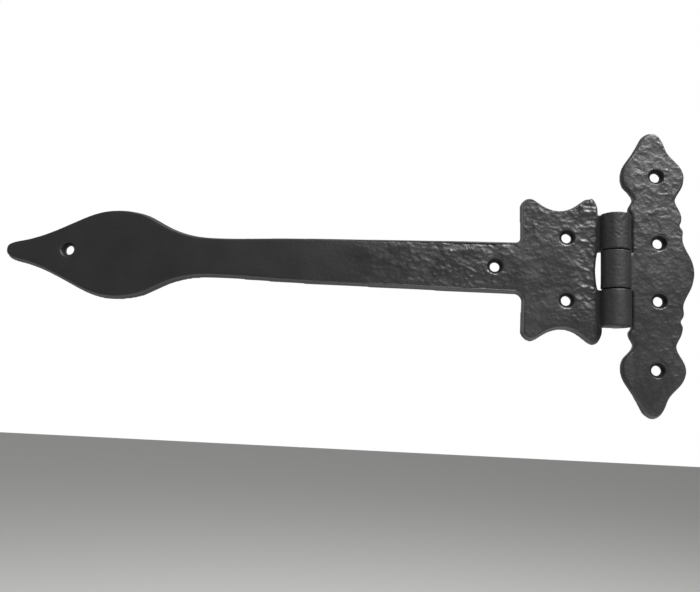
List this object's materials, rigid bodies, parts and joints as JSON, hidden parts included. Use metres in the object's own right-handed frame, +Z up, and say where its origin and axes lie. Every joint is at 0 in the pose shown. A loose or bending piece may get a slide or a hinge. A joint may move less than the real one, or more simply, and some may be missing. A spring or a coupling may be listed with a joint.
{
  "type": "tee hinge",
  "caption": "Ornamental cast tee hinge: long spear-ended strap leaf, scalloped frame leaf, knuckled barrel and a riveted steel pin.",
  "frame": {"origin": "on the plane of both leaves' backs, straight behind the pin's axis, level with the strap's centre line", "axes": "+Z up along the pin; +X from the strap leaf towards the frame leaf; +Y into the door, so the leaves' faces look towards -Y"},
  "size_m": [0.3068, 0.0123, 0.1262],
  "materials": {
    "black_painted_iron": "hammered casting under satin black paint",
    "black_steel_pin": "turned steel, riveted at both ends, painted over"
  },
  "bodies": {
    "frame_side": {"frame_leaf": "black_painted_iron"},
    "strap_side": {"strap_leaf": "black_painted_iron", "hinge_pin": "black_steel_pin"}
  },
  "joints": [
    {"name": "strap_swing", "type": "hinge", "parent": "frame_side", "child": "strap_side", "pos_m": [0, -0.006, 0], "axis": [0, 0, 1], "range_deg": [-90, 180]}
  ]
}
